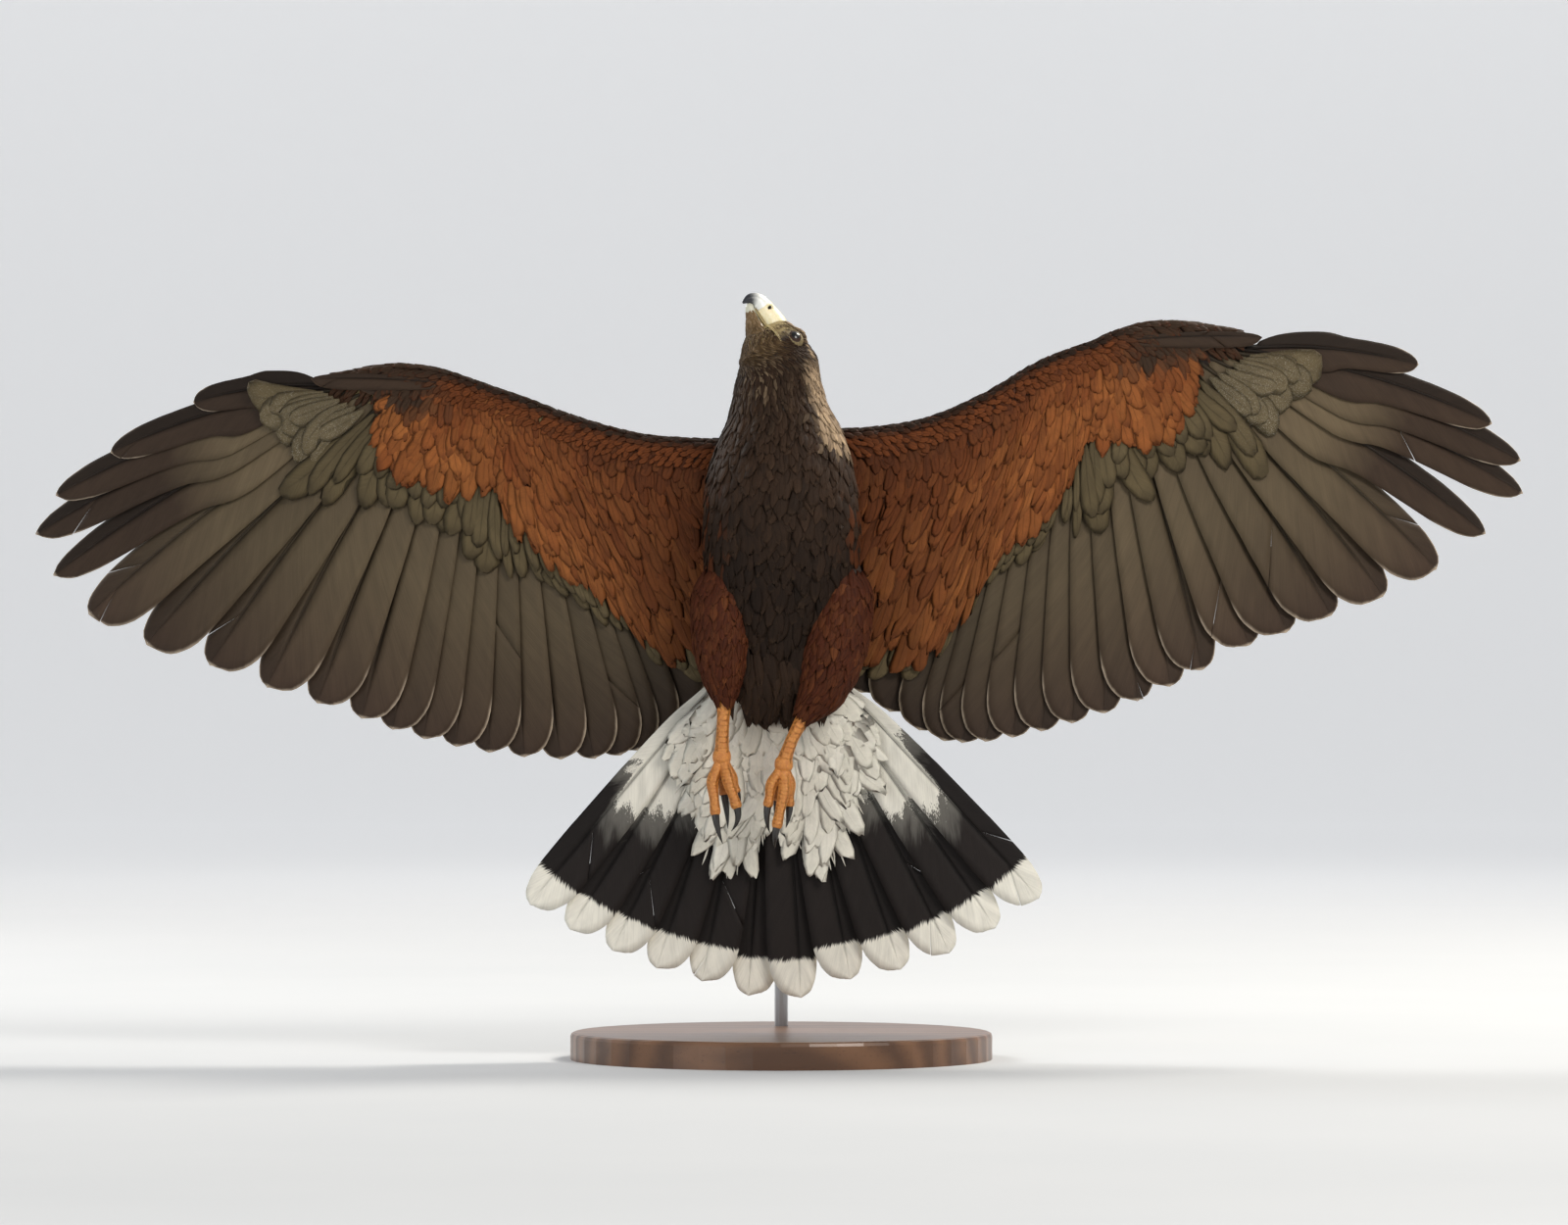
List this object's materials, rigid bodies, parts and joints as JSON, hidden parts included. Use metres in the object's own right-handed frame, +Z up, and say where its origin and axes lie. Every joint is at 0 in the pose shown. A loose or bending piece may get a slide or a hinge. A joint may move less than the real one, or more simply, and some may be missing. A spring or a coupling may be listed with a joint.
{
  "type": "harris hawk model",
  "caption": "Life-size soaring Harris's hawk, wings and banded tail spread, held head up by a steel rod on a round wooden base.",
  "frame": {"origin": "centre of the underside of the stand's base", "axes": "+Z up and along the bird toward its head, -Y from its belly toward the viewer, +X toward the bird's left wing tip"},
  "size_m": [1.1242, 0.3197, 0.5626],
  "materials": {
    "dark plumage": "matte",
    "wing plumage": "matte",
    "tail plumage": "matte",
    "chestnut plumage": "matte",
    "yellow skin": "satin",
    "leg skin": "satin",
    "horn": "satin",
    "claw": "gloss",
    "eye": "gloss",
    "base wood": "satin",
    "rod steel": "satin"
  },
  "bodies": {
    "root": {"torso": "dark plumage", "neck": "dark plumage", "head": "dark plumage", "cere": "yellow skin", "bill_upper": "horn", "bill_lower": "horn", "eye_left": "eye", "eye_right": "eye", "wing_left_arm": "wing plumage", "wing_left_hand": "wing plumage", "wing_right_arm": "wing plumage", "wing_right_hand": "wing plumage", "tail": "tail plumage", "thigh_left": "chestnut plumage", "thigh_right": "chestnut plumage", "tarsus_left": "leg skin", "tarsus_right": "leg skin", "foot_left": "leg skin", "foot_right": "leg skin", "claw_left_inner": "claw", "claw_left_middle": "claw", "claw_left_outer": "claw", "claw_left_rear": "claw", "claw_right_inner": "claw", "claw_right_middle": "claw", "claw_right_outer": "claw", "claw_right_rear": "claw", "stand_base": "base wood", "stand_rod": "rod steel"}
  },
  "joints": []
}
